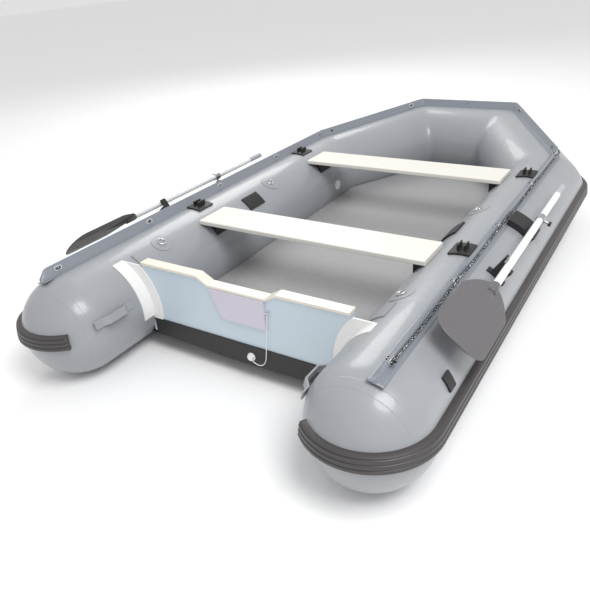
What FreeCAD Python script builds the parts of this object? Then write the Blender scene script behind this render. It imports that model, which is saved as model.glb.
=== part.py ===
import FreeCAD, Part
import math
import os

V = FreeCAD.Vector
os.makedirs("parts", exist_ok=True)

# Driving sizes, in millimetres. X runs forward, Y to port, Z up.
TUBE_R = 206.0
TUBE_Y = 654.0
DOME_X = -227.0
SHOULDER_X = 1851.0
NOSE_X = 2504.0
NOSE_HALF = 274.0
NOSE_RISE = 64.0
SEAT_GAP = 0.3
STRAKE_LOW = 208.0
STRAKE_TALL = 58.0
STRAKE_PROUD = 20.0
STRAKE_END_X = -376.0
FLAP_LEAN = 13.35
FLAP_HIGH = 44.7
FLAP_THICK = 4.0
FLAP_END_X = -300.0
FLOOR_TOP = 124.0
FLOOR_THICK = 45.0
FLOOR_START = 36.0
HULL_EDGE = 3.0
HULL_DEEP = 20.0
TRANSOM_THICK = 35.0
TRANSOM_LOW = 98.0
TRANSOM_TOP = 396.0
NOTCH_DEEP = 28.0
NOTCH_HALF = 130.0
NOTCH_RAMP = 50.0
CAP_THICK = 10.0
CAP_OVERHANG = 5.0
SKIRT_TOP = 155.0
SKIRT_THICK = 6.0
MOTOR_PLATE_THICK = 9.0
EYE_Y = -137.0
EYE_Z = 325.0
DRAIN_Y = -42.0
DRAIN_Z = 108.0
DRAIN_R = 17.0
HOLDER_THICK = 6.0
HOLDER_BAND = 48.0
BOARD_HALF = 544.0
BOARD_WIDE = 192.0
BOARD_THICK = 20.0
BOARD_X = (446.0, 1404.0)
PAD_LONG = 110.0
SPARE_PAD_X = 831.0
MOUNT_PLATE_X = (573.0, 1507.0)
MOUNT_PLATE_LONG = 100.0
MOUNT_PLATE_WIDE = 80.0
MOUNT_PLATE_THICK = 8.0
EYELET_X = (-210.0, 296.0, 811.0, 1328.0, 1825.0)
EYELET_LONG = 36.0
EYELET_TALL = 20.0
EYELET_HOLE = 12.0
EYELET_OUT = 24.0
ROPE_R = 4.0
ROPE_OFF = 2.4
CORNER_UP = 23.0
RING_X = (209.0, 1038.0)
RING_ANGLE = -28.0
RING_R = 17.0
RING_BAR = 2.5
RING_PATCH_R = 48.0
RING_PATCH_THICK = 2.0
VALVE_X = 1567.0
VALVE_ANGLE = -88.0
VALVE_R = 28.0
HANDLE_X = (-290.0, -100.0)
HANDLE_ANGLE = -72.0
OAR_X = 940.0
OAR_LEAN = 22.0
OAR_R = 283.0
OAR_ANGLE = 40.0
SHAFT_R = 14.0
SHAFT_FRONT = 1240.0
SHAFT_BACK = 330.0
GRIP_LONG = 110.0
BLADE_BACK = -50.0
BLADE_HALF = 95.0
BLADE_THICK = 8.0
BLADE_LEAN = 40.0
COLLAR_R = 19.0
COLLAR_LONG = 34.0
PIN_R = 6.0
PIN_CLEAR = 0.05
BASE_LONG = 110.0
BASE_ARC = (18.0, 50.0)
BASE_THICK = 26.0
CLIP_X = 510.0
CLIP_LONG = 30.0
LEAF_X = -85.0

STERN_END = DOME_X - TUBE_R - STRAKE_PROUD
BOW_END = NOSE_X + TUBE_R + STRAKE_PROUD
MID_X = (STERN_END + BOW_END) / 2
SPAN = 4000.0
PORT, STARBOARD = 1, -1


def save(shape, node):
    """Moves a finished piece into the boat's frame and writes it."""
    placed = shape.copy()
    placed.translate(V(-MID_X, 0, 0))
    placed.exportStep("parts/" + node + ".step")
    print(node, len(placed.Solids), round(placed.Volume / 1e6, 3))


def mirror(shape):
    return shape.mirror(V(0, 0, 0), V(0, 1, 0))


def sided(shape, side):
    return shape if side == PORT else mirror(shape)


def both(shape):
    return Part.makeCompound([shape, mirror(shape)])


def box(x0, x1, y0, y1, z0, z1):
    return Part.makeBox(x1 - x0, y1 - y0, z1 - z0, V(x0, y0, z0))


def half_space(point, normal):
    """A large block that fills the side of the plane that normal points to."""
    block = Part.makeBox(SPAN, SPAN, SPAN, V(-SPAN / 2, -SPAN / 2, 0))
    block.Placement = FreeCAD.Placement(point, FreeCAD.Rotation(V(0, 0, 1), normal))
    return block


def polygon_prism(points, direction):
    wire = Part.makePolygon(points + [points[0]])
    return Part.Face(wire).extrude(direction)


def unit(vector):
    return vector.normalize()


# The tube's centre line on the port side, from the stern dome to the nose.
STERN = V(DOME_X, TUBE_Y, TUBE_R)
SHOULDER = V(SHOULDER_X, TUBE_Y, TUBE_R)
NOSE = V(NOSE_X, NOSE_HALF, TUBE_R + NOSE_RISE)
NOSE_STARBOARD = V(NOSE_X, -NOSE_HALF, TUBE_R + NOSE_RISE)
SIDE_DIR = V(1, 0, 0)
DIAG_DIR = unit(NOSE - SHOULDER)
NOSE_DIR = V(0, -1, 0)
SHOULDER_CUT = unit(SIDE_DIR + DIAG_DIR)
NOSE_CUT = unit(DIAG_DIR + NOSE_DIR)
OVERRUN = 400.0
FLOOR_EDGE = TUBE_Y - math.sqrt(TUBE_R**2 - (TUBE_R - FLOOR_TOP) ** 2)


def side_round(radius, inner=0.0):
    """The side tube with its stern dome, before the shoulder cut."""
    body = Part.makeCylinder(radius, SHOULDER_X - DOME_X + OVERRUN, STERN, SIDE_DIR)
    return body.fuse(Part.makeSphere(radius, STERN)).removeSplitter()


def diag_round(radius):
    start = SHOULDER - DIAG_DIR * OVERRUN
    return Part.makeCylinder(radius, (NOSE - SHOULDER).Length + 2 * OVERRUN, start, DIAG_DIR)


def nose_round(radius):
    start = NOSE - NOSE_DIR * OVERRUN
    return Part.makeCylinder(radius, 2 * NOSE_HALF + 2 * OVERRUN, start, NOSE_DIR)


def cut_side(shape):
    return shape.cut(half_space(SHOULDER, SHOULDER_CUT))


def cut_diag(shape):
    return shape.cut(half_space(SHOULDER, SHOULDER_CUT * -1)).cut(half_space(NOSE, NOSE_CUT))


def cut_nose(shape):
    trimmed = shape.cut(half_space(NOSE, NOSE_CUT * -1))
    other = V(NOSE_CUT.x, -NOSE_CUT.y, NOSE_CUT.z)
    return trimmed.cut(half_space(NOSE_STARBOARD, other * -1))


def on_tube(angle, radius, x=0.0):
    """A point round the port side tube; angle is outboard from the top."""
    turn = math.radians(angle)
    return V(x, TUBE_Y + radius * math.sin(turn), TUBE_R + radius * math.cos(turn))


def outward(angle):
    turn = math.radians(angle)
    return V(0, math.sin(turn), math.cos(turn))


def tube_patch(x0, x1, angle0, angle1, inner, outer):
    """A curved plate on the port side tube, between two angles."""
    def ring(radius):
        return Part.makeCylinder(radius, x1 - x0, V(x0, TUBE_Y, TUBE_R), SIDE_DIR)
    shell = ring(outer).cut(ring(inner))
    centre = V(x0 - 1, TUBE_Y, TUBE_R)
    reach = outer * 3
    middle = (angle0 + angle1) / 2
    corners = [centre, centre + outward(angle0) * reach, centre + outward(middle) * reach * 2,
               centre + outward(angle1) * reach]
    return shell.common(polygon_prism(corners, V(x1 - x0 + 2, 0, 0)))


def make_tubes():
    side = cut_side(side_round(TUBE_R))
    diag = cut_diag(diag_round(TUBE_R))
    save(side, "port_side_tube")
    save(mirror(side), "starboard_side_tube")
    save(diag, "port_shoulder_tube")
    save(mirror(diag), "starboard_shoulder_tube")
    save(cut_nose(nose_round(TUBE_R)), "bow_tube")


def make_strakes():
    """The rubbing strake: a band round the outside, a little above the widest line."""
    outer = TUBE_R + STRAKE_PROUD
    inner = TUBE_R + SEAT_GAP
    top = STRAKE_LOW + STRAKE_TALL
    shell = side_round(outer).cut(side_round(inner))
    band = shell.common(box(STERN_END - 1, SPAN, -SPAN, SPAN, STRAKE_LOW, top))
    inboard = box(STRAKE_END_X, SPAN, -SPAN, TUBE_Y, 0, SPAN)
    side = cut_side(band.cut(inboard))
    save(side, "port_side_strake")
    save(mirror(side), "starboard_side_strake")
    across = unit(V(-DIAG_DIR.y, DIAG_DIR.x, 0))
    up = DIAG_DIR.cross(across) * -1
    if up.z < 0:
        up = up * -1
    across = V(-across.x, -across.y, 0) if across.y < 0 else across
    low = SHOULDER + up * (STRAKE_LOW - TUBE_R) - DIAG_DIR * OVERRUN
    length = (NOSE - SHOULDER).Length + 2 * OVERRUN
    slab_points = [low, low + across * outer * 2, low + across * outer * 2 + up * STRAKE_TALL,
                   low + up * STRAKE_TALL]
    slab = polygon_prism(slab_points, DIAG_DIR * length)
    diag = cut_diag(diag_round(outer).cut(diag_round(inner)).common(slab))
    save(diag, "port_shoulder_strake")
    save(mirror(diag), "starboard_shoulder_strake")
    nose_slab = box(NOSE_X, SPAN, -SPAN, SPAN, STRAKE_LOW + NOSE_RISE, top + NOSE_RISE)
    nose = cut_nose(nose_round(outer).cut(nose_round(inner)).common(nose_slab))
    save(nose, "bow_strake")


def flap_slab(start, direction, length, lean_out):
    """The standing strip on top of the tube: a plane strip that leans outboard."""
    side = direction.cross(lean_out)
    side.normalize()
    foot = start + lean_out * (TUBE_R + SEAT_GAP) - side * (FLAP_THICK / 2)
    head = foot + lean_out * (FLAP_HIGH - SEAT_GAP)
    points = [foot, foot + side * FLAP_THICK, head + side * FLAP_THICK, head]
    return polygon_prism(points, direction * length)


def lean_of(direction):
    """The strip's outward direction square to a run of tube."""
    flat = unit(V(-direction.y, direction.x, 0))
    up = flat.cross(direction) * -1
    up = up if up.z > 0 else up * -1
    turn = math.radians(FLAP_LEAN)
    return flat * math.sin(turn) + up * math.cos(turn)


def oval(point, along, outward_dir, long, tall, thick):
    """An oval plate standing in the strip, square to it."""
    through = along.cross(outward_dir)
    through.normalize()
    radius = tall / 2
    half = long / 2 - radius
    a = Part.makeCylinder(radius, thick, point + along * half - through * (thick / 2), through)
    b = Part.makeCylinder(radius, thick, point - along * half - through * (thick / 2), through)
    c0 = point - along * half - outward_dir * radius - through * (thick / 2)
    bar = polygon_prism([c0, c0 + along * 2 * half, c0 + along * 2 * half + outward_dir * tall,
                         c0 + outward_dir * tall], through * thick)
    return a.fuse(b).fuse(bar).removeSplitter()


def eyelet_places():
    """Each eyelet's point on the centre line, its run's direction and lean."""
    side_lean = lean_of(SIDE_DIR)
    diag_lean = lean_of(DIAG_DIR)
    nose_lean = lean_of(NOSE_DIR)
    places = [(V(x, TUBE_Y, TUBE_R), SIDE_DIR, side_lean) for x in EYELET_X]
    places.append((SHOULDER + DIAG_DIR * 70, DIAG_DIR, diag_lean))
    places.append((NOSE - DIAG_DIR * 60, DIAG_DIR, diag_lean))
    middle = (V(NOSE_X, 0, TUBE_R + NOSE_RISE), NOSE_DIR, nose_lean)
    return places, middle


def make_flaps_and_eyelets():
    places, middle = eyelet_places()
    margin = 0.2

    def rings(extra, inner):
        shapes = []
        for point, along, lean in places:
            centre = point + lean * (TUBE_R + EYELET_OUT)
            outer = oval(centre, along, lean, EYELET_LONG + extra, EYELET_TALL + extra,
                         FLAP_THICK + 4)
            hole = oval(centre, along, lean, EYELET_LONG - EYELET_TALL + EYELET_HOLE,
                        EYELET_HOLE, FLAP_THICK + 40)
            shapes.append(outer.cut(hole) if inner else outer)
        return shapes

    centre_point, centre_along, centre_lean = middle
    centre = centre_point + centre_lean * (TUBE_R + EYELET_OUT)
    bow_ring = oval(centre, centre_along, centre_lean, EYELET_LONG, EYELET_TALL, FLAP_THICK + 4)
    bow_hole = oval(centre, centre_along, centre_lean, EYELET_LONG - EYELET_TALL + EYELET_HOLE,
                    EYELET_HOLE, FLAP_THICK + 40)
    bow_room = oval(centre, centre_along, centre_lean, EYELET_LONG + margin,
                    EYELET_TALL + margin, FLAP_THICK + 4)
    start = V(FLAP_END_X, TUBE_Y, TUBE_R)
    side = cut_side(flap_slab(start, SIDE_DIR, SHOULDER_X - FLAP_END_X + OVERRUN,
                              lean_of(SIDE_DIR)))
    diag_start = SHOULDER - DIAG_DIR * OVERRUN
    diag = cut_diag(flap_slab(diag_start, DIAG_DIR, (NOSE - SHOULDER).Length + 2 * OVERRUN,
                              lean_of(DIAG_DIR)))
    nose = cut_nose(flap_slab(NOSE - NOSE_DIR * OVERRUN, NOSE_DIR, 2 * NOSE_HALF + 2 * OVERRUN,
                              lean_of(NOSE_DIR)))
    for room in rings(margin, False):
        side = side.cut(room)
        diag = diag.cut(room)
    nose = nose.cut(bow_room)
    save(side, "port_side_flap")
    save(mirror(side), "starboard_side_flap")
    save(diag, "port_shoulder_flap")
    save(mirror(diag), "starboard_shoulder_flap")
    save(nose, "bow_flap")
    metal = rings(0, True)
    every = metal + [mirror(ring) for ring in metal] + [bow_ring.cut(bow_hole)]
    save(Part.makeCompound(every), "lifeline_eyelets")


def floor_outline(inset):
    """Half of the deck's outline, port side, from the transom to the nose."""
    across = unit(V(DIAG_DIR.y, -DIAG_DIR.x, 0))
    across = across if across.y < 0 else across * -1
    reach_low = math.sqrt(TUBE_R**2 - (TUBE_R - FLOOR_TOP) ** 2)
    reach_nose = math.sqrt(TUBE_R**2 - (TUBE_R + NOSE_RISE - FLOOR_TOP) ** 2)
    p = SHOULDER + across * (reach_low + inset + 6)
    q = NOSE + across * (reach_nose + inset + 6)
    slope = (q.y - p.y) / (q.x - p.x)
    edge = FLOOR_EDGE - inset
    x_shoulder = p.x + (edge - p.y) / slope
    x_nose = NOSE_X - reach_nose - inset
    y_nose = p.y + slope * (x_nose - p.x)
    return [(x_shoulder, edge), (x_nose, y_nose)]


def make_floor():
    inset = 1.0
    (xs, ys), (xn, yn) = floor_outline(inset)
    low = FLOOR_TOP - FLOOR_THICK
    points = [V(FLOOR_START, -ys, low), V(xs, -ys, low), V(xn, -yn, low), V(xn, yn, low),
              V(xs, ys, low), V(FLOOR_START, ys, low)]
    floor = polygon_prism(points, V(0, 0, FLOOR_THICK))
    save(floor, "air_floor")
    hull_top = low - SEAT_GAP
    edge_top = TUBE_Y - math.sqrt(TUBE_R**2 - (TUBE_R - hull_top) ** 2) - SEAT_GAP - 1
    section = [V(0.0, edge_top, hull_top), V(0.0, edge_top, hull_top - HULL_EDGE),
               V(0.0, 0, hull_top - HULL_DEEP), V(0.0, -edge_top, hull_top - HULL_EDGE),
               V(0.0, -edge_top, hull_top)]
    wedge = polygon_prism(section, V(NOSE_X, 0, 0))
    trim = polygon_prism([V(0, -SPAN, 0), V(xs, -SPAN, 0), V(xs, -ys - 20, 0), V(xn, -yn, 0),
                          V(xn, yn, 0), V(xs, ys + 20, 0), V(xs, SPAN, 0), V(0, SPAN, 0)],
                         V(0, 0, FLOOR_TOP))
    hull = wedge.common(trim)
    save(hull, "hull_bottom")
    return hull_top


def transom_edge(z):
    return TUBE_Y - math.sqrt(TUBE_R**2 - (TUBE_R - z) ** 2)


def make_transom():
    low = TRANSOM_LOW - 10
    top = TRANSOM_TOP
    far = TUBE_Y - 185
    notch = [V(0, -far, low), V(0, far, low), V(0, far, top), V(0, NOTCH_HALF + NOTCH_RAMP, top),
             V(0, NOTCH_HALF, top - NOTCH_DEEP), V(0, -NOTCH_HALF, top - NOTCH_DEEP),
             V(0, -NOTCH_HALF - NOTCH_RAMP, top), V(0, -far, top)]
    board = polygon_prism(notch, V(TRANSOM_THICK, 0, 0))
    tube = Part.makeCylinder(TUBE_R + SEAT_GAP, SPAN, V(-SPAN / 2, TUBE_Y, TUBE_R), SIDE_DIR)
    board = board.cut(tube).cut(mirror(tube))
    save(board, "transom_board")
    lift = [V(-CAP_OVERHANG, p.y, p.z) for p in notch[2:]]
    cap_points = lift + [V(-CAP_OVERHANG, p.y, p.z + CAP_THICK) for p in reversed(lift)]
    cap = polygon_prism(cap_points, V(TRANSOM_THICK + 2 * CAP_OVERHANG, 0, 0))
    cap = cap.cut(tube).cut(mirror(tube))
    save(cap, "transom_cap")
    plate_points = [V(0, 120, 366), V(0, -127, 366), V(0, -127, 248), V(0, 75, 248)]
    outer = polygon_prism(plate_points, V(-MOTOR_PLATE_THICK, 0, 0))
    inner_points = [V(TRANSOM_THICK, 120, 366), V(TRANSOM_THICK, -120, 366),
                    V(TRANSOM_THICK, -120, 248), V(TRANSOM_THICK, 120, 248)]
    inner = polygon_prism(inner_points, V(MOTOR_PLATE_THICK, 0, 0))
    save(Part.makeCompound([outer, inner]), "motor_plates")
    # The black skirt is the hull cloth turned up over the foot of the board.
    skirt_far = transom_edge(SKIRT_TOP) - 4
    skirt_points = [V(-SKIRT_THICK, -skirt_far, SKIRT_TOP), V(-SKIRT_THICK, skirt_far, SKIRT_TOP),
                    V(-SKIRT_THICK, skirt_far, 82), V(-SKIRT_THICK, 0, 66),
                    V(-SKIRT_THICK, -skirt_far, 82)]
    skirt = polygon_prism(skirt_points, V(SKIRT_THICK, 0, 0))
    hole = Part.makeCylinder(DRAIN_R - 5, SPAN, V(-SPAN / 2, DRAIN_Y, DRAIN_Z), SIDE_DIR)
    skirt = skirt.cut(hole).cut(tube).cut(mirror(tube))
    save(skirt, "transom_skirt")
    holder = tube_patch(-HOLDER_THICK, 0, -20, -115, TUBE_R + SEAT_GAP,
                        TUBE_R + HOLDER_BAND).cut(box(-50, 50, -SPAN, SPAN, -1, SKIRT_TOP + 1))
    holder = holder.common(box(-50, 50, -SPAN, SPAN, 0, TRANSOM_TOP - 4))
    cuff = tube_patch(-62, -HOLDER_THICK, -24, -100, TUBE_R + SEAT_GAP, TUBE_R + 4)
    cuff = cuff.common(box(-80, 0, -SPAN, SPAN, SKIRT_TOP + 1, SPAN))
    save(both(holder.fuse(cuff).removeSplitter()), "transom_holders")
    gusset = tube_patch(40, 140, -24, -58, TUBE_R + SEAT_GAP, TUBE_R + 5)
    save(both(gusset), "transom_gussets")


def make_drain():
    socket = Part.makeCylinder(DRAIN_R, 4, V(-SKIRT_THICK - 4, DRAIN_Y, DRAIN_Z), SIDE_DIR)
    bore = Part.makeCylinder(8.0, 20, V(-SKIRT_THICK - 10, DRAIN_Y, DRAIN_Z), SIDE_DIR)
    save(socket.cut(bore), "drain_socket")
    stem = Part.makeCylinder(7.9, 9.8, V(-SKIRT_THICK - 4, DRAIN_Y, DRAIN_Z), SIDE_DIR)
    head = Part.makeCylinder(13.0, 8, V(-SKIRT_THICK - 12, DRAIN_Y, DRAIN_Z), SIDE_DIR)
    save(stem.fuse(head).removeSplitter(), "drain_plug")
    stud = Part.makeCylinder(3, 12, V(-12, EYE_Y - 1, EYE_Z), SIDE_DIR)
    loop = Part.makeTorus(7, 1.5, V(-9, EYE_Y, EYE_Z - 7), SIDE_DIR)
    save(stud.fuse(loop).removeSplitter(), "cord_eye")


def cord_tube(points, radius, name):
    """A round cord along straight runs joined by tangent arcs."""
    edges = []
    radii = []
    last = points[0]
    for before, here, after in zip(points, points[1:], points[2:]):
        a = unit(here - before)
        b = unit(after - here)
        half = a.getAngle(b) / 2
        reach = 0.45 * min((here - before).Length, (after - here).Length)
        radii.append(reach / math.tan(half))
        p = here - a * reach
        q = here + b * reach
        middle_dir = unit(b - a)
        centre = here + middle_dir * (radii[-1] / math.cos(half))
        mid = centre - middle_dir * radii[-1]
        edges.append(Part.LineSegment(last, p).toShape())
        edges.append(Part.Arc(p, mid, q).toShape())
        last = q
    edges.append(Part.LineSegment(last, points[-1]).toShape())
    path = Part.Wire(edges)
    ring = Part.Wire([Part.Circle(points[0], unit(points[1] - points[0]), radius).toShape()])
    tube = path.makePipeShell([ring], True, True)
    expected = math.pi * radius**2 * path.Length
    print(name, "length", round(path.Length), "radii", round(min(radii)),
          "volume ratio", round(tube.Volume / expected, 4))
    return tube


def corner_point(corner, before, after, off, extra):
    """The lifeline's point at a bend of the strip, held a little further out."""
    a = unit(V(-before.y, before.x, 0))
    b = unit(V(-after.y, after.x, 0))
    half = a.getAngle(b) / 2
    turn = math.radians(FLAP_LEAN)
    reach = TUBE_R + CORNER_UP
    out = (reach * math.sin(turn) + off * math.cos(turn)) / math.cos(half) + extra
    up = reach * math.cos(turn) - off * math.sin(turn)
    return corner + unit(a + b) * out + V(0, 0, up)


def make_cords():
    plug = [V(-9, -137, 309.2), V(-9.5, -136, 285), V(-10, -131, 250), V(-11, -126, 215),
            V(-12, -122, 180), V(-13, -119, 150), V(-16, -117, 122), V(-20, -112, 105),
            V(-24, -100, 95), V(-26, -84, 94), V(-26, -70, 99), V(-25, -59, 104),
            V(-23, -55.5, 106)]
    save(cord_tube(plug, 1.5, "drain cord"), "drain_plug_cord")
    # Lifeline, port half: heights are above the tube, offsets outboard of the strip.
    side_lean = lean_of(SIDE_DIR)
    square = unit(V(0, side_lean.z, -side_lean.y))
    off = square * (FLAP_THICK / 2 + ROPE_R + ROPE_OFF)
    marks = [(-222, 22), (-178, 21), (-108, 16), (-18, 12), (82, 11.5), (172, 15), (246, 20),
             (300, 23), (368, 19), (452, 13), (552, 11), (642, 12.5), (728, 17), (806, 23),
             (878, 19.5), (962, 13.5), (1060, 11), (1156, 12), (1246, 17), (1322, 23),
             (1396, 20), (1480, 14), (1574, 11.5), (1664, 13), (1742, 18), (1797, 21.5)]
    line = [V(x, TUBE_Y, TUBE_R) + side_lean * (TUBE_R + up) + off for x, up in marks]
    diag_lean = lean_of(DIAG_DIR)
    diag_off = unit(diag_lean.cross(DIAG_DIR)) * (FLAP_THICK / 2 + ROPE_R + ROPE_OFF)
    diag_off = diag_off if diag_off.y > 0 else diag_off * -1
    line.append(corner_point(SHOULDER, SIDE_DIR, DIAG_DIR, off.Length, 6.0))
    shoulder_marks = [(52, 22), (108, 22.5), (180, 17), (280, 12.5), (380, 11.5), (480, 13),
                      (580, 17), (655, 20.5), (708, 22.5)]
    line += [SHOULDER + DIAG_DIR * s + diag_lean * (TUBE_R + up) + diag_off
             for s, up in shoulder_marks]
    nose_lean = lean_of(NOSE_DIR)
    nose_off = V(nose_lean.z, 0, -nose_lean.x) * (FLAP_THICK / 2 + ROPE_R + ROPE_OFF)
    line.append(corner_point(NOSE, DIAG_DIR, NOSE_DIR, off.Length, 19.0))
    bow_marks = [(46, 22), (104, 17), (168, 14), (226, 18), (270, 22)]
    line += [NOSE + NOSE_DIR * s + nose_lean * (TUBE_R + up) + nose_off for s, up in bow_marks]
    for point in line:
        print("route", round(point.x - MID_X, 1), round(point.y, 1), round(point.z, 1))
    half = cord_tube(line, ROPE_R, "lifeline")
    save(half, "port_lifeline")
    save(mirror(half), "starboard_lifeline")


def make_seats():
    z_under = TUBE_R + math.sqrt((TUBE_R + SEAT_GAP) ** 2 - (TUBE_Y - BOARD_HALF) ** 2)
    pads = []
    for x, node in zip(BOARD_X, ("aft_seat", "forward_seat")):
        seat = box(x, x + BOARD_WIDE, -BOARD_HALF, BOARD_HALF, z_under, z_under + BOARD_THICK)
        save(seat, node)
        middle = x + BOARD_WIDE / 2
        block = box(middle - PAD_LONG / 2, middle + PAD_LONG / 2, BOARD_HALF - 62,
                    BOARD_HALF - 4, z_under - 75, z_under - SEAT_GAP)
        round_tube = Part.makeCylinder(TUBE_R + SEAT_GAP, SPAN, V(-SPAN / 2, TUBE_Y, TUBE_R),
                                       SIDE_DIR)
        pads += [block.cut(round_tube)]
    save(Part.makeCompound(pads + [mirror(pad) for pad in pads]), "seat_brackets")
    spare = tube_patch(SPARE_PAD_X - 60, SPARE_PAD_X + 60, -31, -51, TUBE_R + SEAT_GAP,
                       TUBE_R + 8)
    save(both(spare), "spare_seat_pads")


def make_deck_fittings():
    plates = []
    for x in MOUNT_PLATE_X:
        foot = tube_patch(x - MOUNT_PLATE_LONG / 2, x + MOUNT_PLATE_LONG / 2, -14, 8,
                          TUBE_R + SEAT_GAP, TUBE_R + MOUNT_PLATE_THICK)
        top = TUBE_R * 2 + MOUNT_PLATE_THICK
        lug = box(x - 24, x + 24, TUBE_Y - 26, TUBE_Y - 20, top - 6, top + 20)
        lug2 = lug.copy()
        lug2.translate(V(0, 26, 0))
        plates.append(foot.fuse(lug).fuse(lug2).removeSplitter())
    save(Part.makeCompound(plates + [mirror(plate) for plate in plates]), "accessory_mounts")
    patches = []
    rings = []
    for x in RING_X:
        centre = on_tube(RING_ANGLE, 0, x)
        rod = Part.makeCylinder(RING_PATCH_R, TUBE_R * 2, centre, outward(RING_ANGLE))
        skin = tube_patch(x - 60, x + 60, RING_ANGLE - 20, RING_ANGLE + 20, TUBE_R + SEAT_GAP,
                          TUBE_R + SEAT_GAP + RING_PATCH_THICK)
        patches.append(skin.common(rod))
        lift = TUBE_R + RING_PATCH_THICK + RING_BAR + 1
        rings.append(Part.makeTorus(RING_R, RING_BAR, on_tube(RING_ANGLE, lift, x),
                                    outward(RING_ANGLE)))
    save(Part.makeCompound(patches + [mirror(patch) for patch in patches]), "ring_patches")
    save(Part.makeCompound(rings + [mirror(ring) for ring in rings]), "d_rings")
    flange = Part.makeCylinder(VALVE_R, 5, on_tube(VALVE_ANGLE, TUBE_R + SEAT_GAP, VALVE_X),
                               outward(VALVE_ANGLE))
    save(both(flange), "tube_valves")
    x0, x1 = HANDLE_X
    crown = on_tube(HANDLE_ANGLE, TUBE_R + 16, 0)
    mid = (x0 + x1) / 2
    n = outward(HANDLE_ANGLE)
    t = outward(HANDLE_ANGLE + 90)
    def at(x, height):
        p = on_tube(HANDLE_ANGLE, TUBE_R + height, x)
        return p - t * 16
    strap = [at(x0, 0.3), at(x0 + 34, 0.3), at(x0 + 60, 24), at(x1 - 60, 24), at(x1 - 34, 0.3),
             at(x1, 0.3), at(x1, 5.5), at(x1 - 30, 5.5), at(x1 - 56, 30), at(x0 + 56, 30),
             at(x0 + 30, 5.5), at(x0, 5.5)]
    save(both(polygon_prism(strap, t * 32)), "stern_handles")


# The oar lies along the tube; its pin stands on a slant that carries it level when swung.
OAR_AXIS = outward(OAR_LEAN)
OAR_OUT = V(0, math.cos(math.radians(OAR_LEAN)), -math.sin(math.radians(OAR_LEAN)))
PIVOT = on_tube(OAR_ANGLE, OAR_R, OAR_X)


def make_oars():
    foot = tube_patch(OAR_X - BASE_LONG / 2, OAR_X + BASE_LONG / 2, BASE_ARC[0], BASE_ARC[1],
                      TUBE_R + SEAT_GAP, TUBE_R + BASE_THICK)
    boss_low = PIVOT - OAR_AXIS * 60
    boss = Part.makeCylinder(16, 34, boss_low, OAR_AXIS)
    inside = Part.makeCylinder(TUBE_R + SEAT_GAP, SPAN, V(-SPAN / 2, TUBE_Y, TUBE_R), SIDE_DIR)
    base = foot.fuse(boss).cut(inside).removeSplitter()
    socket = Part.makeCylinder(PIN_R + PIN_CLEAR, 40, PIVOT - OAR_AXIS * 56, OAR_AXIS)
    base = base.cut(socket)
    save(both(base), "oarlock_bases")
    sleeve = Part.makeCylinder(COLLAR_R, COLLAR_LONG, PIVOT - SIDE_DIR * COLLAR_LONG / 2, SIDE_DIR)
    pin = Part.makeCylinder(PIN_R, 40, PIVOT - OAR_AXIS * 52, OAR_AXIS)
    stub = Part.makeCylinder(5, 22, PIVOT + OAR_OUT * 12, OAR_OUT)
    shaft_room = Part.makeCylinder(SHAFT_R, SPAN, V(-SPAN / 2, PIVOT.y, PIVOT.z), SIDE_DIR)
    collar = sleeve.fuse(pin).fuse(stub).cut(shaft_room).removeSplitter()
    knob = Part.makeCylinder(10, 12, PIVOT + OAR_OUT * 34, OAR_OUT)
    shaft = Part.makeCylinder(SHAFT_R, SHAFT_FRONT - SHAFT_BACK,
                              V(SHAFT_BACK, PIVOT.y, PIVOT.z), SIDE_DIR)
    grip = Part.makeCylinder(SHAFT_R - 1, GRIP_LONG, V(SHAFT_FRONT, PIVOT.y, PIVOT.z), SIDE_DIR)
    out = BLADE_HALF
    outline = [(SHAFT_BACK + 2, 20), (SHAFT_BACK - 40, 80), (SHAFT_BACK - 120, out),
               (BLADE_BACK + 40, out), (BLADE_BACK, out - 30), (BLADE_BACK, 30 - out),
               (BLADE_BACK + 40, -out), (SHAFT_BACK - 120, -out), (SHAFT_BACK - 40, -80),
               (SHAFT_BACK + 2, -20)]
    face = outward(BLADE_LEAN)
    across = outward(BLADE_LEAN + 90)
    blade_points = [V(x, PIVOT.y, PIVOT.z) + across * y - face * (BLADE_THICK / 2)
                    for x, y in outline]
    blade = polygon_prism(blade_points, face * BLADE_THICK)
    ferrule = Part.makeCylinder(SHAFT_R + 3, 60, V(SHAFT_BACK - 58, PIVOT.y, PIVOT.z), SIDE_DIR)
    room = Part.makeCylinder(SHAFT_R, SPAN, V(SHAFT_BACK, PIVOT.y, PIVOT.z), SIDE_DIR)
    blade = blade.fuse(ferrule).cut(room).removeSplitter()
    for side, name in ((PORT, "port"), (STARBOARD, "starboard")):
        save(sided(collar, side), name + "_oar_collar")
        save(sided(knob, side), name + "_oar_knob")
        save(sided(shaft, side), name + "_oar_shaft")
        save(sided(grip, side), name + "_oar_grip")
        save(sided(blade, side), name + "_oar_blade")
    clip = tube_patch(CLIP_X - CLIP_LONG / 2, CLIP_X + CLIP_LONG / 2, 30, 52,
                      TUBE_R + SEAT_GAP, TUBE_R + 6)
    arm = tube_patch(CLIP_X - CLIP_LONG / 2, CLIP_X + CLIP_LONG / 2, 34.4, 36,
                     TUBE_R + 5, TUBE_R + 86)
    lip = tube_patch(CLIP_X - CLIP_LONG / 2, CLIP_X + CLIP_LONG / 2, 36, 47,
                     TUBE_R + 5, OAR_R - SHAFT_R - 7)
    save(both(clip.fuse(arm).fuse(lip).removeSplitter()), "oar_clips")
    leaf = tube_patch(LEAF_X - 22, LEAF_X + 22, 52, 66, TUBE_R + SEAT_GAP, TUBE_R + 7)
    save(both(leaf), "blade_holders")
    print("pivot", PIVOT.x - MID_X, PIVOT.y, PIVOT.z, "axis", OAR_AXIS)


make_tubes()
make_strakes()
make_flaps_and_eyelets()
make_floor()
make_transom()
make_drain()
make_cords()
make_seats()
make_deck_fittings()
make_oars()
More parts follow.
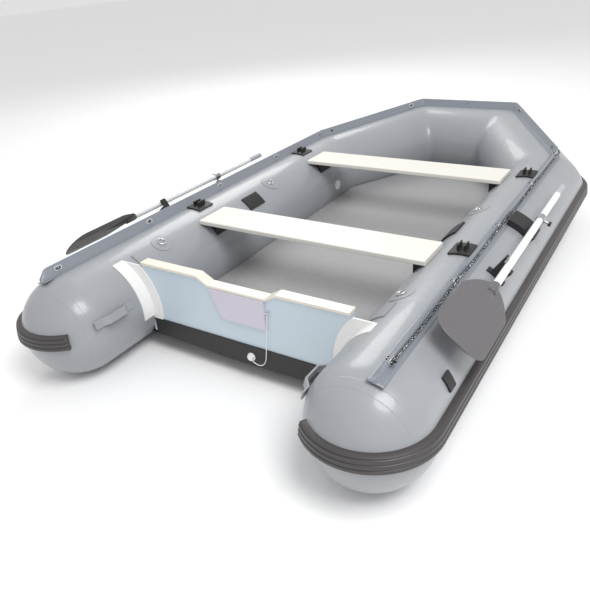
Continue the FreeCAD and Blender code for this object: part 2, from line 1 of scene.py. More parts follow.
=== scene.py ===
import bmesh
import bpy
import math
import numpy as np
from mathutils import Matrix, Vector


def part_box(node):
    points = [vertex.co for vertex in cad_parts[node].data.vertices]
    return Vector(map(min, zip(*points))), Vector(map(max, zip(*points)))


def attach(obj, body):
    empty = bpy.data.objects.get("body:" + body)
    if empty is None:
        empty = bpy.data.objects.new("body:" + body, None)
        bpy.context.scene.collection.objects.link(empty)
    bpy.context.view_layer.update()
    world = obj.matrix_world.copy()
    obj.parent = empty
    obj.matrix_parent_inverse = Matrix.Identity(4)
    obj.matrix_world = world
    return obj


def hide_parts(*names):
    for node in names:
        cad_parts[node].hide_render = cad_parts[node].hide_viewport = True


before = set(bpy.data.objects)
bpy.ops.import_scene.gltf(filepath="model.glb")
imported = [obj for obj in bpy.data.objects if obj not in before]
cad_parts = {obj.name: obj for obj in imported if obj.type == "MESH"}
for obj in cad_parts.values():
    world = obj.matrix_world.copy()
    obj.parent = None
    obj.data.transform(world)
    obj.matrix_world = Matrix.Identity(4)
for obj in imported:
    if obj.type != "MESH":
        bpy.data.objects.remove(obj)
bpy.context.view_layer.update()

# Camera: above the starboard stern quarter, looking forward over the transom, and
# turned a few degrees about its own line of sight.
scene = bpy.context.scene
TRANSOM_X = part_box("transom_board")[0].x
CAMERA_PLACE = (TRANSOM_X - 1.4716, -1.2825, 1.4114)
YAW = math.radians(34.75)
PITCH = math.radians(28.89)
ROLL = math.radians(-5.12)
look = Vector((math.cos(PITCH) * math.cos(YAW), math.cos(PITCH) * math.sin(YAW), -math.sin(PITCH)))
level = look.cross(Vector((0, 0, 1))).normalized()
above = level.cross(look)
right = math.cos(ROLL) * level + math.sin(ROLL) * above
up = math.cos(ROLL) * above - math.sin(ROLL) * level
camera_data = bpy.data.cameras.new("camera")
camera_data.sensor_width = 36.0
camera_data.lens = 37.031
camera = bpy.data.objects.new("camera", camera_data)
turned = Matrix((right, up, -look)).transposed().to_4x4()
camera.matrix_world = Matrix.Translation(CAMERA_PLACE) @ turned
scene.collection.objects.link(camera)
scene.camera = camera

# Lifeline: an 8 mm braided rope, black with white flecks, one each side. It runs along
# the outboard face of the standing strip from the stern to the middle of the bow, and
# rises to every eyelet that holds it.
TUBE_R = 0.206
TUBE_Y = 0.654
NOSE_HALF = 0.274
NOSE_RISE = 0.064
SHOULDER = Vector((TRANSOM_X + 1.851, TUBE_Y, TUBE_R))
NOSE = Vector((TRANSOM_X + 2.504, NOSE_HALF, TUBE_R + NOSE_RISE))
RUNS = [Vector((1, 0, 0)), (NOSE - SHOULDER).normalized(), Vector((0, -1, 0))]
STRIP_LEAN = math.radians(13.35)
ROPE_THICK = 0.008
ROPE_GAP = 0.0024
ROPE_OFF = 0.002 + ROPE_THICK / 2 + ROPE_GAP
CORNER_UP = 0.023

# Distances along each run from its start, and heights above the tube, in millimetres.
SIDE_MARKS = [(-222, 22), (-178, 21), (-108, 16), (-18, 12), (82, 11.5), (172, 15), (246, 20),
              (300, 23), (368, 19), (452, 13), (552, 11), (642, 12.5), (728, 17), (806, 23),
              (878, 19.5), (962, 13.5), (1060, 11), (1156, 12), (1246, 17), (1322, 23),
              (1396, 20), (1480, 14), (1574, 11.5), (1664, 13), (1742, 18), (1797, 21.5)]
DIAGONAL_MARKS = [(52, 22), (108, 22.5), (180, 17), (280, 12.5), (380, 11.5), (480, 13),
                  (580, 17), (655, 20.5), (708, 22.5)]
NOSE_MARKS = [(46, 22), (104, 17), (168, 14), (226, 18), (270, 22)]


class Sum:
    """A shader socket that takes arithmetic: each operator adds its Math node."""

    def __init__(self, tree, socket):
        self.tree, self.socket = tree, socket

    def node(self, kind, settings, values, out=0):
        """Adds a node of a type, sets it up, then fills or links its sockets."""
        made = self.tree.nodes.new(kind)
        for name, value in settings.items():
            setattr(made, name, value)
        for name, value in values.items():
            if isinstance(value, Sum):
                self.tree.links.new(value.socket, made.inputs[name])
            else:
                made.inputs[name].default_value = value
        return Sum(self.tree, made.outputs[out])

    def maths(self, operation, a, b=0.0):
        return self.node("ShaderNodeMath", {"operation": operation}, {0: a, 1: b})

    def __add__(self, other):
        return self.maths("ADD", self, other)

    def __radd__(self, other):
        return self.maths("ADD", other, self)

    def __sub__(self, other):
        return self.maths("SUBTRACT", self, other)

    def __rsub__(self, other):
        return self.maths("SUBTRACT", other, self)

    def __mul__(self, other):
        return self.maths("MULTIPLY", self, other)

    def __rmul__(self, other):
        return self.maths("MULTIPLY", other, self)

    def sine(self):
        return self.maths("SINE", self)

    def ramp(self, low, high):
        """Nought below low, one above high, straight between."""
        values = {"Value": self, "From Min": low, "From Max": high}
        return self.node("ShaderNodeMapRange", {"clamp": True}, values)


def noise(point, scale, detail=3.0):
    values = {"Vector": point, "Scale": scale, "Detail": detail}
    return point.node("ShaderNodeTexNoise", {}, values)


def finish_of(name, colour, rough, metal=0.0, coat=0.0, grain=None, shade=None):
    """A material: grain(point) gives a height in millimetres, shade(point) a 0 to 1 mask
    that mixes the colour towards a second one. Both read Object coordinates, in metres."""
    made = bpy.data.materials.new(name)
    made.use_nodes = True
    tree = made.node_tree
    shader = tree.nodes["Principled BSDF"]
    shader.inputs["Base Color"].default_value = (*colour, 1)
    shader.inputs["Roughness"].default_value = rough
    shader.inputs["Metallic"].default_value = metal
    shader.inputs["Coat Weight"].default_value = coat
    place = tree.nodes.new("ShaderNodeTexCoord")
    point = Sum(tree, place.outputs["Object"])
    if shade:
        mask, other = shade(point)
        mixed = point.node("ShaderNodeMix", {"data_type": "RGBA"},
                           {0: mask, 6: (*colour, 1), 7: (*other, 1)}, out=2)
        tree.links.new(mixed.socket, shader.inputs["Base Color"])
    if grain:
        bump = point.node("ShaderNodeBump", {}, {"Height": grain(point), "Distance": 0.001})
        tree.links.new(bump.socket, shader.inputs["Normal"])
    return made


def square_to(run):
    """A run's level outboard direction, and its upward direction square to both."""
    flat = Vector((-run.y, run.x, 0)).normalized()
    rise = run.cross(flat)
    return flat, rise if rise.z > 0 else -rise


def rope_along(corner, run, marks):
    """Rope points on one run: out along the strip's lean, then off its outboard face."""
    flat, rise = square_to(run)
    lean = flat * math.sin(STRIP_LEAN) + rise * math.cos(STRIP_LEAN)
    off = flat * math.cos(STRIP_LEAN) - rise * math.sin(STRIP_LEAN)
    return [corner + run * (along / 1000) + lean * (TUBE_R + tall / 1000) + off * ROPE_OFF
            for along, tall in marks]


def rope_corner(corner, before, after, extra):
    """The rope's point at a bend of the strip, on the mitre and held a little further out."""
    a, b = square_to(before)[0], square_to(after)[0]
    reach = TUBE_R + CORNER_UP
    out = (reach * math.sin(STRIP_LEAN) + ROPE_OFF * math.cos(STRIP_LEAN))
    out = out / math.cos(a.angle(b) / 2) + extra
    tall = reach * math.cos(STRIP_LEAN) - ROPE_OFF * math.sin(STRIP_LEAN)
    return corner + (a + b).normalized() * out + Vector((0, 0, tall))


def cord_curve(name, route, thick, material, body):
    """A smooth NURBS cord through the pull of its route's points."""
    data = bpy.data.curves.new(name, "CURVE")
    data.dimensions = "3D"
    spline = data.splines.new("NURBS")
    spline.points.add(len(route) - 1)
    spline.points.foreach_set("co", [c for p in route for c in (*p, 1.0)])
    spline.order_u = 3
    spline.use_endpoint_u = True
    spline.resolution_u = 6
    data.bevel_depth = thick / 2
    data.bevel_resolution = 3
    data.use_fill_caps = True
    thing = bpy.data.objects.new(name, data)
    scene.collection.objects.link(thing)
    data.materials.append(material)
    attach(thing, body)
    return thing


def flecks(point):
    """Short white flecks in the braid."""
    return noise(point, 260.0, 0.0).ramp(0.60, 0.64), (0.62, 0.62, 0.62)


rope_finish = finish_of("flecked_braid", (0.012, 0.012, 0.013), 0.75,
                        grain=lambda point: noise(point, 500.0) * 0.5, shade=flecks)
side_start = Vector((TRANSOM_X, TUBE_Y, TUBE_R))
port_route = rope_along(side_start, RUNS[0], SIDE_MARKS)
port_route.append(rope_corner(SHOULDER, RUNS[0], RUNS[1], 0.006))
port_route += rope_along(SHOULDER, RUNS[1], DIAGONAL_MARKS)
port_route.append(rope_corner(NOSE, RUNS[1], RUNS[2], 0.019))
port_route += rope_along(NOSE, RUNS[2], NOSE_MARKS)
for side, way in (("port", 1), ("starboard", -1)):
    route = [(round(p.x, 4), round(p.y, 4) * way, round(p.z, 4)) for p in port_route]
    rope = cord_curve(side + "_lifeline_rope", route, ROPE_THICK, rope_finish, "boat")
    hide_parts(side + "_lifeline")

# Drain plug lanyard: a 3 mm white cord, tied to the eye on the transom and to the plug,
# that hangs down the transom in between.
PLUG_CORD = [(-1.1475, -0.137, 0.3092), (-1.148, -0.136, 0.285), (-1.1485, -0.131, 0.250),
             (-1.1495, -0.126, 0.215), (-1.1505, -0.122, 0.180), (-1.1515, -0.119, 0.150),
             (-1.1545, -0.117, 0.122), (-1.1585, -0.112, 0.105), (-1.1625, -0.100, 0.095),
             (-1.1645, -0.084, 0.094), (-1.1645, -0.070, 0.099), (-1.1635, -0.059, 0.104),
             (-1.1615, -0.0555, 0.106)]
cord_white = finish_of("white_braid", (0.80, 0.80, 0.80), 0.7,
                       grain=lambda point: noise(point, 900.0) * 0.2)
plug_cord = cord_curve("drain_lanyard", PLUG_CORD, 0.003, cord_white, "boat")
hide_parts("drain_plug_cord")

# Buoyancy tubes: coated cloth cut in panels and welded, blown to 0.41 m across, with
# domed sterns, mitred shoulders and a blunt, slightly raised bow.
DOME = Vector((TRANSOM_X - 0.227, TUBE_Y, TUBE_R))
CONE_LAP_X = TRANSOM_X - 0.324
SHOULDER_LAP_X = SHOULDER.x - 0.33
LAP_WIDE = 0.03


def mitre_frames():
    """Corner, outboard vector and up vector at each corner, port side then starboard.
    A corner's vectors are its run's own, slid along the run into the mitre plane."""
    frames = [(DOME, *square_to(RUNS[0]))]
    for corner, k in ((SHOULDER, 0), (NOSE, 1)):
        run = RUNS[k]
        cut = (run + RUNS[k + 1]).normalized()
        slid = [v - run * (v.dot(cut) / run.dot(cut)) for v in square_to(run)]
        frames.append((corner, *slid))
    flip = Vector((1, -1, 1))
    return frames + [tuple(v * flip for v in held) for held in reversed(frames)]


FRAMES = mitre_frames()


def across(held, profile):
    """A profile of (outboard, up) pairs stood up at a corner."""
    corner, flat, rise = (np.array(v) for v in held)
    return corner + profile[:, :1] * flat + profile[:, 1:] * rise


def sweep(profile, spacing=0.03, dome_from=None, soften=1.2):
    """Carries a closed profile of (outboard, up) pairs round the boat. Each run is ruled
    between its two mitres; round each stern the profile turns about the dome's upright
    axis, from dome_from degrees; each crease is softened by a bell-shaped average."""
    profile = np.asarray(profile, float)
    dome_rings = {1: [], -1: []}
    for way in dome_rings if dome_from else ():
        for turn in np.radians(np.linspace(dome_from, 0, 40, endpoint=False)):
            flat = np.array([-math.sin(turn), way * math.cos(turn), 0])
            start = np.array(FRAMES[0 if way == 1 else -1][0])
            dome_rings[way].append(start + profile[:, :1] * flat + profile[:, 1:] * [0, 0, 1])
    rings = list(dome_rings[1])
    marks = []
    for before, after in zip(FRAMES, FRAMES[1:]):
        a, b = across(before, profile), across(after, profile)
        steps = max(2, int((after[0] - before[0]).length / spacing))
        rings += [a + (b - a) * s for s in np.arange(steps) / steps]
        marks.append(len(rings))
    rings = np.array(rings + [b] + dome_rings[-1][::-1])
    smooth = rings.copy()
    for mark in marks[:-1]:
        span = np.arange(mark - 5, mark + 6)
        for k in span:
            weight = np.exp(-((span - k) / soften) ** 2)
            smooth[k] = (rings[span] * weight[:, None, None]).sum(0) / weight.sum()
    return smooth


def stern_rings(way, angles):
    """Rings of the half ball that closes a stern, from its tip to the tube."""
    rows = np.linspace(0.02, math.pi / 2, 28, endpoint=False)[:, None]
    radius = TUBE_R * np.sin(rows)
    x = DOME.x - TUBE_R * np.cos(rows) + 0 * angles
    y = way * (TUBE_Y + radius * np.sin(angles))
    return np.stack([x, y, TUBE_R + radius * np.cos(angles)], 2)


def face_out(thing):
    """Merges doubles and turns the faces outwards."""
    held = bmesh.new()
    held.from_mesh(thing.data)
    bmesh.ops.remove_doubles(held, verts=held.verts, dist=1e-6)
    bmesh.ops.recalc_face_normals(held, faces=held.faces)
    held.to_mesh(thing.data)
    held.free()


def grid_mesh(name, points, material, body="boat", wrap_u=False, wrap_v=False, caps=False,
              smooth=True):
    """A surface over an (m, n, 3) array of points; wrap joins the first and last row or
    column, and caps fill both end loops of a wrapped sweep."""
    m, n = points.shape[:2]
    rows = np.arange(m if wrap_u else m - 1)
    cols = np.arange(n if wrap_v else n - 1)
    i, j = (a.ravel() for a in np.meshgrid(rows, cols, indexing="ij"))
    ni, nj = (i + 1) % m, (j + 1) % n
    faces = np.stack([i * n + j, ni * n + j, ni * n + nj, i * n + nj], 1).tolist()
    if caps:
        faces += [list(range(n)), list(range(m * n - 1, (m - 1) * n - 1, -1))]
    mesh = bpy.data.meshes.new(name)
    mesh.from_pydata(points.reshape(-1, 3).tolist(), [], faces)
    mesh.validate()
    mesh.update()
    thing = bpy.data.objects.new(name, mesh)
    scene.collection.objects.link(thing)
    face_out(thing)
    if smooth:
        mesh.polygons.foreach_set("use_smooth", [True] * len(mesh.polygons))
    mesh.materials.append(material)
    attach(thing, body)
    return thing


def axis_of(point, axis):
    return point.node("ShaderNodeSeparateXYZ", {}, {"Vector": point}, out=axis)


def lap(x, at):
    """A welded lap of cloth: a strip that stands up from one line to the next."""
    return (x - at).ramp(-0.0015, 0.0015) - (x - at - LAP_WIDE).ramp(-0.0015, 0.0015)


def tube_grain(point):
    """Welded laps, the cloth's fine grain under its coating, and soft fullness."""
    x = axis_of(point, 0)
    laps = lap(x, CONE_LAP_X) * 0.8 + lap(x, SHOULDER_LAP_X) * 0.5
    return laps + noise(point, 9.0) * 3.0 + noise(point, 700.0) * 0.05


def tube_shade(point):
    return noise(point, 3.0).ramp(0.35, 0.7) * 0.35, (0.25, 0.265, 0.29)


angles = np.linspace(0, 2 * math.pi, 96, endpoint=False)
body_rings = sweep(np.stack([np.sin(angles), np.cos(angles)], 1) * TUBE_R)
skin = np.concatenate([stern_rings(1, angles), body_rings, stern_rings(-1, angles)[::-1]])
tube_finish = finish_of("tube_cloth", (0.315, 0.325, 0.345), 0.33, coat=0.25,
                        grain=tube_grain, shade=tube_shade)
tubes = grid_mesh("buoyancy_tubes", skin, tube_finish, wrap_v=True, caps=True)
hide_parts("port_side_tube", "starboard_side_tube", "port_shoulder_tube",
            "starboard_shoulder_tube", "bow_tube")

# Rubbing strake: a moulded charcoal rubber band with ribs, glued round the tubes a little
# above their widest line, and round both sterns to the inboard side.
STRAKE_LOW = 0.208
STRAKE_TALL = 0.058
STRAKE_PROUD = 0.0195
STRAKE_WRAP = 134
heights = np.linspace(0, 1, 61)
ribs = 0.78 + 0.22 * np.clip(np.abs(np.sin(heights * math.pi * 3.5)) * 1.8, 0, 1)
edge = np.clip(np.minimum(heights, 1 - heights) * 12, 0, 1) ** 0.5
strake_up = STRAKE_LOW + heights * STRAKE_TALL - TUBE_R
strake_out = np.sqrt(TUBE_R**2 - strake_up**2)
outer_line = np.stack([strake_out + STRAKE_PROUD * edge * ribs, strake_up], 1)
inner_line = np.stack([strake_out[::-1] - 0.002, strake_up[::-1]], 1)[::4]
strake_rings = sweep(np.concatenate([outer_line, inner_line]), dome_from=STRAKE_WRAP)
strake_finish = finish_of("strake_rubber", (0.055, 0.05, 0.052), 0.42,
                          grain=lambda point: noise(point, 400.0) * 0.15)
strake = grid_mesh("rubbing_strake", strake_rings, strake_finish, wrap_v=True, caps=True)
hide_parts("port_side_strake", "starboard_side_strake", "port_shoulder_strake",
            "starboard_shoulder_strake", "bow_strake")

# Standing strip: two plies of bluish cloth welded on top of the tube, leaning outboard,
# with a wide welded foot. The eyelets are set in it, and it slopes down to each stern.
STRIP_TOP = TUBE_R + 0.0445
STRIP_HALF = 0.0018
STRIP_TAIL = 0.073
STRIP_HIGH = 0.041
STRIP_FOOT = 0.004
# Degrees either side of the lean, and heights above the tube, of the welded foot.
FOOT_MARKS = [(7.5, 0.0), (7.2, 0.0009), (4, 0.001), (1.6, 0.0012), (0.7, STRIP_FOOT)]
STRIP_WAY = np.array([math.sin(STRIP_LEAN), math.cos(STRIP_LEAN)])


def strip_profile():
    """The foot follows the tube on both sides, and the upstand leans between."""
    def on_tube(degrees, height):
        turn = STRIP_LEAN + math.radians(degrees)
        return [(TUBE_R + height) * math.sin(turn), (TUBE_R + height) * math.cos(turn)]
    near_foot = [on_tube(-degrees, height) for degrees, height in FOOT_MARKS]
    far_foot = [on_tube(degrees, height) for degrees, height in FOOT_MARKS[::-1]]
    under = [on_tube(degrees, -0.002) for degrees in (5, 0, -5)]
    square = np.array([math.cos(STRIP_LEAN), -math.sin(STRIP_LEAN)])
    top = [STRIP_WAY * reach + square * half for reach, half in
           ((STRIP_TOP - 0.001, -STRIP_HALF), (STRIP_TOP, -STRIP_HALF * 0.5),
            (STRIP_TOP, STRIP_HALF * 0.5), (STRIP_TOP - 0.001, STRIP_HALF))]
    return np.array(near_foot + [list(p) for p in top] + far_foot + under)


def strip_tail(first_ring):
    """The strip carried straight aft of the tube's end, cut down in a slope."""
    steps = np.linspace(0, 1, 8)[:-1]
    tail = np.repeat(first_ring[None], len(steps), 0)
    tail[..., 0] -= STRIP_TAIL * (1 - steps)[:, None]
    high = (tail[..., 1:] - [TUBE_Y, TUBE_R]) @ STRIP_WAY - TUBE_R
    share = np.minimum(1.0, np.linspace(0.15, 1, len(steps)) * 1.6)
    lowered = np.minimum(high, (STRIP_FOOT + STRIP_HIGH * share)[:, None])
    tail[..., 1:] += (lowered - high)[..., None] * STRIP_WAY
    return tail


strip_rings = sweep(strip_profile(), spacing=0.02, soften=0.8)
port_tail = strip_tail(strip_rings[0])
starboard_tail = port_tail[::-1] * [1, -1, 1]
strip_rings = np.concatenate([port_tail, strip_rings, starboard_tail])
strip_finish = finish_of("strip_cloth", (0.215, 0.235, 0.27), 0.4, coat=0.15,
                         grain=lambda point: noise(point, 700.0) * 0.06 + noise(point, 14.0) * 1.0)
strip = grid_mesh("standing_strip", strip_rings, strip_finish, wrap_v=True, caps=True)
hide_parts("port_side_flap", "starboard_side_flap", "port_shoulder_flap",
            "starboard_shoulder_flap", "bow_flap")


# Rubber fittings: bench brackets and spare pads, accessory mounts, oarlock bases, oar
# clips and blade holders, all moulded in black rubber and glued to the tubes.
def dress(material, *nodes):
    """CAD nodes keep their shape and get their finish."""
    for node in nodes:
        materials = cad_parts[node].data.materials
        materials.clear()
        materials.append(material)


rubber = finish_of("black_rubber", (0.014, 0.014, 0.015), 0.5,
                   grain=lambda point: noise(point, 300.0) * 0.2)
dress(rubber, "seat_brackets", "spare_seat_pads", "accessory_mounts", "oarlock_bases",
      "oar_clips", "blade_holders")

# Metal fittings: pressed alloy eyelets in the standing strip, polished steel D-rings,
# and the steel eye on the transom.
alloy = finish_of("eyelet_alloy", (0.80, 0.80, 0.81), 0.3, metal=0.6,
                  grain=lambda point: noise(point, 300.0) * 0.03)
dress(alloy, "lifeline_eyelets")
steel = finish_of("polished_steel", (0.70, 0.70, 0.70), 0.18, metal=1.0,
                  grain=lambda point: noise(point, 200.0) * 0.02)
dress(steel, "d_rings", "cord_eye")

# White mouldings: the transom's holders, the drain's socket and plug, and the valves
# let into the tubes.
white_moulding = finish_of("white_moulding", (0.78, 0.78, 0.77), 0.4,
                           grain=lambda point: noise(point, 120.0) * 0.05)
dress(white_moulding, "transom_holders", "drain_socket", "drain_plug", "tube_valves")

# Cloth fittings: ring patches, transom gussets and stern handles, cut from the tubes'
# own coated cloth and glued on.
cloth_patch = finish_of("cloth_patch", (0.30, 0.31, 0.33), 0.4, coat=0.15,
                        grain=lambda point: noise(point, 600.0) * 0.08)
dress(cloth_patch, "ring_patches", "transom_gussets", "stern_handles")

# Transom: a painted plywood board between the tubes, with a cream plastic cap pressed
# over its top edge and a grey motor pad screwed on inside and out.
cream = finish_of("cream_edge", (0.76, 0.71, 0.63), 0.38,
                  grain=lambda point: noise(point, 60.0) * 0.1)
dress(cream, "transom_cap")
painted = finish_of("transom_paint", (0.53, 0.62, 0.69), 0.34, coat=0.2,
                    grain=lambda point: noise(point, 40.0) * 0.15,
                    shade=lambda point: (noise(point, 2.0).ramp(0.3, 0.8) * 0.3, (0.60, 0.66, 0.72)))
dress(painted, "transom_board")
plate_finish = finish_of("motor_pad", (0.60, 0.57, 0.66), 0.45,
                         grain=lambda point: noise(point, 220.0) * 0.25)
dress(plate_finish, "motor_plates")

# Skirt and hull bottom: black coated cloth, glued to the tubes and to the transom's
# lower edge.
skirt_finish = finish_of("black_cloth", (0.012, 0.011, 0.012), 0.45,
                         grain=lambda point: noise(point, 500.0) * 0.1)
dress(skirt_finish, "transom_skirt", "hull_bottom")

# Air deck: drop-stitch cloth, blown hard, with a fine quilted tread of small diamonds
# pressed into its top.
QUILT = 0.016


def quilt_waves(point):
    """Two crossed waves, whose sum runs from -2 to 2 over each diamond."""
    x, y = axis_of(point, 0), axis_of(point, 1)
    turn = 2 * math.pi / QUILT
    return ((x + y * 0.7) * turn).sine() + ((x - y * 0.7) * turn).sine()


deck_finish = finish_of("deck_cloth", (0.335, 0.335, 0.34), 0.5,
                        grain=lambda point: quilt_waves(point) * 0.45 + noise(point, 5.0) * 2.0,
                        shade=lambda point: (quilt_waves(point).ramp(0.6, 1.6) * 0.22,
                                             (0.24, 0.24, 0.25)))
dress(deck_finish, "air_floor")

# Benches: cream painted boards with rounded edges, laid across the tubes and held by
# the rubber brackets below.
BOARD_ROUND = 0.004
board_finish = finish_of("bench_paint", (0.72, 0.70, 0.645), 0.42,
                         grain=lambda point: noise(point, 30.0) * 0.2)


def board_points(low, high):
    """A rounded oblong section carried across the boat, drawn in a little at both ends."""
    turns = np.linspace(0, math.pi / 2, 6)
    ring = []
    for quarter, (x, z) in enumerate(((high.x, high.z), (low.x, high.z), (low.x, low.z),
                                      (high.x, low.z))):
        x += -BOARD_ROUND if x == high.x else BOARD_ROUND
        z += -BOARD_ROUND if z == high.z else BOARD_ROUND
        arc = turns + quarter * math.pi / 2
        ring.append(np.stack([x + BOARD_ROUND * np.cos(arc), z + BOARD_ROUND * np.sin(arc)], 1))
    ring = np.concatenate(ring)
    centre = ring.mean(0)
    shares = np.concatenate([[0, 0.002], np.linspace(0.02, 0.98, 15), [0.998, 1]])
    drawn = np.where((shares == 0) | (shares == 1), 0.985, 1.0)
    section = centre + (ring - centre) * drawn[:, None, None]
    y = np.broadcast_to((low.y + (high.y - low.y) * shares)[:, None], section.shape[:2])
    return np.stack([section[..., 0], y, section[..., 1]], 2)


for node in ("aft_seat", "forward_seat"):
    board = grid_mesh(node + "_board", board_points(*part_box(node)), board_finish, wrap_v=True,
                      caps=True, smooth=False)
    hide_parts(node)

# Oars: white alloy shafts with a grey grip, a metal collar with a black knob, and a dark
# moulded blade pushed on by its socket. They are stowed along the tops of the tubes.
OAR_ANGLE = math.radians(40)
BLADE_HALF = 0.094
SOCKET_LONG = 0.058
# The socket's distance and radius at each step from its blade end.
SOCKET_X = np.array([0.001, 0.002, 0.03, 0.058, 0.06, 0.0601])
SOCKET_R = np.array([0.0142, 0.017, 0.017, 0.016, 0.0145, 0.0142])
shaft_finish = finish_of("shaft_white", (0.80, 0.81, 0.83), 0.25, metal=0.1, coat=0.4,
                         grain=lambda point: noise(point, 80.0) * 0.04)
grip_finish = finish_of("grip_grey", (0.42, 0.42, 0.46), 0.55,
                        grain=lambda point: noise(point, 500.0) * 0.3)
collar_finish = finish_of("collar_alloy", (0.45, 0.45, 0.46), 0.3, metal=0.9,
                          grain=lambda point: noise(point, 200.0) * 0.05)
blade_finish = finish_of("blade_moulding", (0.12, 0.115, 0.12), 0.45,
                         grain=lambda point: noise(point, 350.0) * 0.25)
around = np.linspace(0, 2 * math.pi, 64, endpoint=False)


def blade_points(centre, wide, face, start_x, end_x):
    """Flat oval sections from socket to tip. The half width swells as a square root and
    closes at the tip; a bell-shaped spine and two ribs stand on each face."""
    along = np.linspace(0, 1, 48)[:, None]
    half = BLADE_HALF * np.clip(np.sqrt(np.clip(along * 3.2, 0, 1)), 0.16, 1)
    closing = np.clip((along - 0.86) / 0.155, 0, 1) ** 2.5
    off = half * np.sqrt(np.clip(1 - closing, 0.02, 1)) * np.cos(around)
    rise = np.sin(around)
    spine = 0.013 * np.clip(1 - along / 0.52, 0, 1) * np.exp(-(off / 0.011) ** 2)
    rib = 0.0022 * np.exp(-((np.abs(off) - 0.045) / 0.004) ** 2) * (along < 0.9)
    lift = rise * (0.0030 * np.abs(rise) ** 0.3 + spine + rib)
    points = centre + off[..., None] * wide + lift[..., None] * face
    points[..., 0] += start_x - along * (start_x - end_x)
    return points


for side, way in (("port", 1), ("starboard", -1)):
    oar = side + "_oar"
    dress(shaft_finish, oar + "_shaft")
    dress(grip_finish, oar + "_grip")
    dress(collar_finish, oar + "_collar")
    dress(rubber, oar + "_knob")
    shaft_low, shaft_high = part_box(oar + "_shaft")
    axis = np.array([0, (shaft_low.y + shaft_high.y) / 2, (shaft_low.z + shaft_high.z) / 2])
    wide = np.array([0, way * math.cos(OAR_ANGLE), -math.sin(OAR_ANGLE)])
    face = np.array([0, way * math.sin(OAR_ANGLE), math.cos(OAR_ANGLE)])
    tip_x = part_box(oar + "_blade")[0].x + 0.001
    blade = grid_mesh(oar + "_blade_moulding",
                      blade_points(axis, wide, face, shaft_low.x - 0.004, tip_x),
                      blade_finish, body=oar, wrap_v=True, caps=True)
    circle = np.cos(around)[:, None] * wide + np.sin(around)[:, None] * face
    sleeve = axis + SOCKET_R[:, None, None] * circle
    sleeve[..., 0] += (shaft_low.x - SOCKET_LONG + SOCKET_X)[:, None]
    socket = grid_mesh(oar + "_socket", sleeve, blade_finish, body=oar, wrap_v=True, caps=True)
    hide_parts(oar + "_blade")

# Lacing loops: a short bight of the lifeline drawn through each eyelet, standing square
# to the strip.
LOOP_LONG = 0.0075
LOOP_WIDE = 0.0125
LOOP_SHIFT = 0.002
LOOP_THICK = 0.0042
EYELET_MARKS = (-0.210, 0.296, 0.811, 1.328, 1.825)


def eyelet_centres():
    """The mean of each eyelet's corners, sorted to the eyelet that they lie nearest."""
    lift = Vector((0, 0, TUBE_R))
    half = [Vector((TRANSOM_X + x, TUBE_Y, TUBE_R)) + lift for x in EYELET_MARKS]
    half += [SHOULDER + RUNS[1] * 0.07 + lift, NOSE - RUNS[1] * 0.06 + lift]
    nose_middle = Vector((NOSE.x, 0, NOSE.z)) + lift
    near = np.array(half + [v * Vector((1, -1, 1)) for v in half] + [nose_middle])
    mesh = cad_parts["lifeline_eyelets"].data
    corners = np.empty(len(mesh.vertices) * 3, np.float32)
    mesh.vertices.foreach_get("co", corners)
    corners = corners.reshape(-1, 3).astype(float)
    label = np.linalg.norm(corners[:, None] - near, axis=2).argmin(1)
    return [corners[label == k].mean(0) for k in range(len(near))]


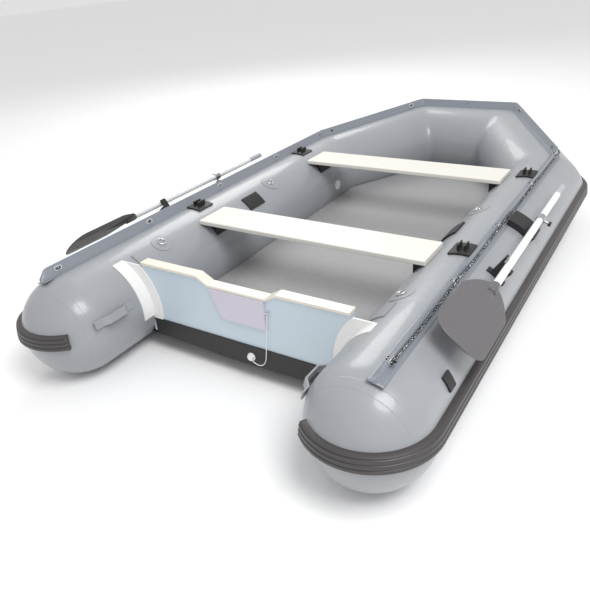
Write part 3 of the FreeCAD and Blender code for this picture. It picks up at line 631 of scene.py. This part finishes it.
def loop_points(centre):
    """An oval ring of round section about an eyelet, longer across the strip."""
    way = 1 if centre[1] > 0 else -1
    if abs(centre[1]) < 0.05:
        outboard, run = np.array([1.0, 0, -0.23]), np.array([0, 1.0, 0])
    elif centre[0] > SHOULDER.x + 0.02:
        outboard, run = np.array([0.5, 0.84 * way, -0.2]), np.array([0.86, -0.5 * way, 0.08])
    else:
        outboard, run = np.array([0, 0.973 * way, -0.23]), np.array([1.0, 0, 0])
    outboard = outboard / np.linalg.norm(outboard)
    rise = np.cross(outboard, run)
    rise *= 1 if rise[2] > 0 else -1
    turn = np.linspace(0, 2 * math.pi, 40, endpoint=False)[:, None]
    round_rope = np.linspace(0, 2 * math.pi, 10, endpoint=False)[:, None]
    path = (centre + np.cos(turn) * run * LOOP_LONG + np.sin(turn) * outboard * LOOP_WIDE
            + outboard * LOOP_SHIFT)
    spoke = (path - centre) / np.linalg.norm(path - centre, axis=1)[:, None]
    return path[:, None] + LOOP_THICK * (np.cos(round_rope) * spoke[:, None]
                                         + np.sin(round_rope) * rise)


loops = [grid_mesh("loop", loop_points(centre), rope_finish, wrap_u=True, wrap_v=True)
         for centre in eyelet_centres()]
bpy.ops.object.select_all(action="DESELECT")
for loop in loops:
    loop.select_set(True)
bpy.context.view_layer.objects.active = loops[0]
bpy.ops.object.join()
lacing = loops[0]
lacing.name = "lacing_loops"

# Studio: a pale floor, a white world, a broad soft key light from above the stern and a
# gentle fill from the bow.
FLOOR_HALF = 30.0
floor_points = np.array([[[-1, -1, 0], [1, -1, 0]], [[-1, 1, 0], [1, 1, 0]]]) * FLOOR_HALF
floor_points[..., 2] = -0.0005
floor_mesh = bpy.data.meshes.new("studio_floor")
floor_mesh.from_pydata(floor_points.reshape(-1, 3).tolist(), [], [(0, 1, 3, 2)])
studio_floor = bpy.data.objects.new("studio_floor", floor_mesh)
scene.collection.objects.link(studio_floor)
floor_mesh.materials.append(finish_of("studio_pale", (0.93, 0.93, 0.93), 0.9))
world = bpy.data.worlds.new("studio_world")
scene.world = world
world.use_nodes = True
world.node_tree.nodes["Background"].inputs["Color"].default_value = (1, 1, 1, 1)
world.node_tree.nodes["Background"].inputs["Strength"].default_value = 0.75


def lamp(name, place, power):
    """A round soft light, 3 m across, aimed at the middle of the boat."""
    data = bpy.data.lights.new(name, "AREA")
    data.shape = "DISK"
    data.size = 3.0
    data.energy = power
    thing = bpy.data.objects.new(name, data)
    thing.location = place
    aim = Vector((0, 0, 0.2)) - Vector(place)
    thing.rotation_euler = aim.to_track_quat("-Z", "Y").to_euler()
    scene.collection.objects.link(thing)


lamp("key_light", (-2.0, -3.0, 5.0), 210.0)
lamp("fill_light", (3.5, 3.0, 4.0), 90.0)

scene.view_settings.view_transform = "Standard"
